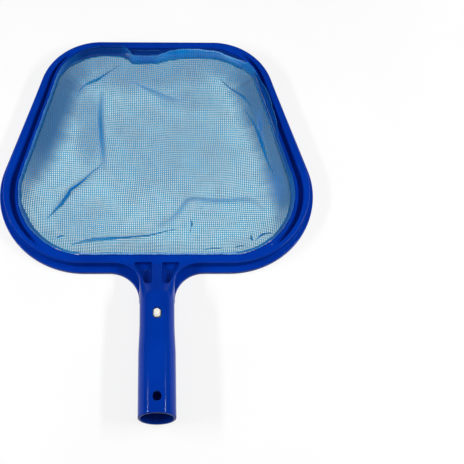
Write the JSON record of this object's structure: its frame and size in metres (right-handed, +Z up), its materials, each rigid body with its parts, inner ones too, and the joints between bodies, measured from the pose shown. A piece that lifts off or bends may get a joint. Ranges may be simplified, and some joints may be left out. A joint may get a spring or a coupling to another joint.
{
  "type": "leaf skimmer net",
  "caption": "Flat pool leaf skimmer head: a moulded trapezoid rim with a tapered pole socket, a shallow fine-mesh bag held by its hem, and a spring clip with buttons in the socket.",
  "frame": {"origin": "middle of the head's length and width, on the plane that it lies on", "axes": "+Y from the socket's mouth to the rim's leading edge, +X to the right seen from above with the socket towards the viewer, +Z up"},
  "size_m": [0.305, 0.403, 0.0356],
  "materials": {
    "frame_plastic": "glossy royal-blue moulding",
    "net_fabric": "light-blue woven mesh",
    "hem_fabric": "doubled mid-blue mesh",
    "bead_cord": "twisted cord",
    "clip_nylon": "satin white nylon"
  },
  "bodies": {
    "head": {"frame_moulding": "frame_plastic", "hem_bead_cord": "bead_cord", "net_hem": "hem_fabric", "net_mesh": "net_fabric", "clip_bend": "clip_nylon"},
    "upper_leg": {"clip_upper_leg": "clip_nylon"},
    "lower_leg": {"clip_lower_leg": "clip_nylon"}
  },
  "joints": [
    {"name": "upper_button_press", "type": "hinge", "parent": "head", "child": "upper_leg", "pos_m": [0, -0.1415, 0.0223], "axis": [-1, 0, 0], "range_deg": [0, 7], "stiffness_Nm_per_rad": 1.5, "springref_deg": -4.58},
    {"name": "lower_button_press", "type": "hinge", "parent": "head", "child": "lower_leg", "pos_m": [0, -0.1415, 0.0133], "axis": [1, 0, 0], "range_deg": [0, 7], "stiffness_Nm_per_rad": 1.5, "springref_deg": -4.58}
  ]
}
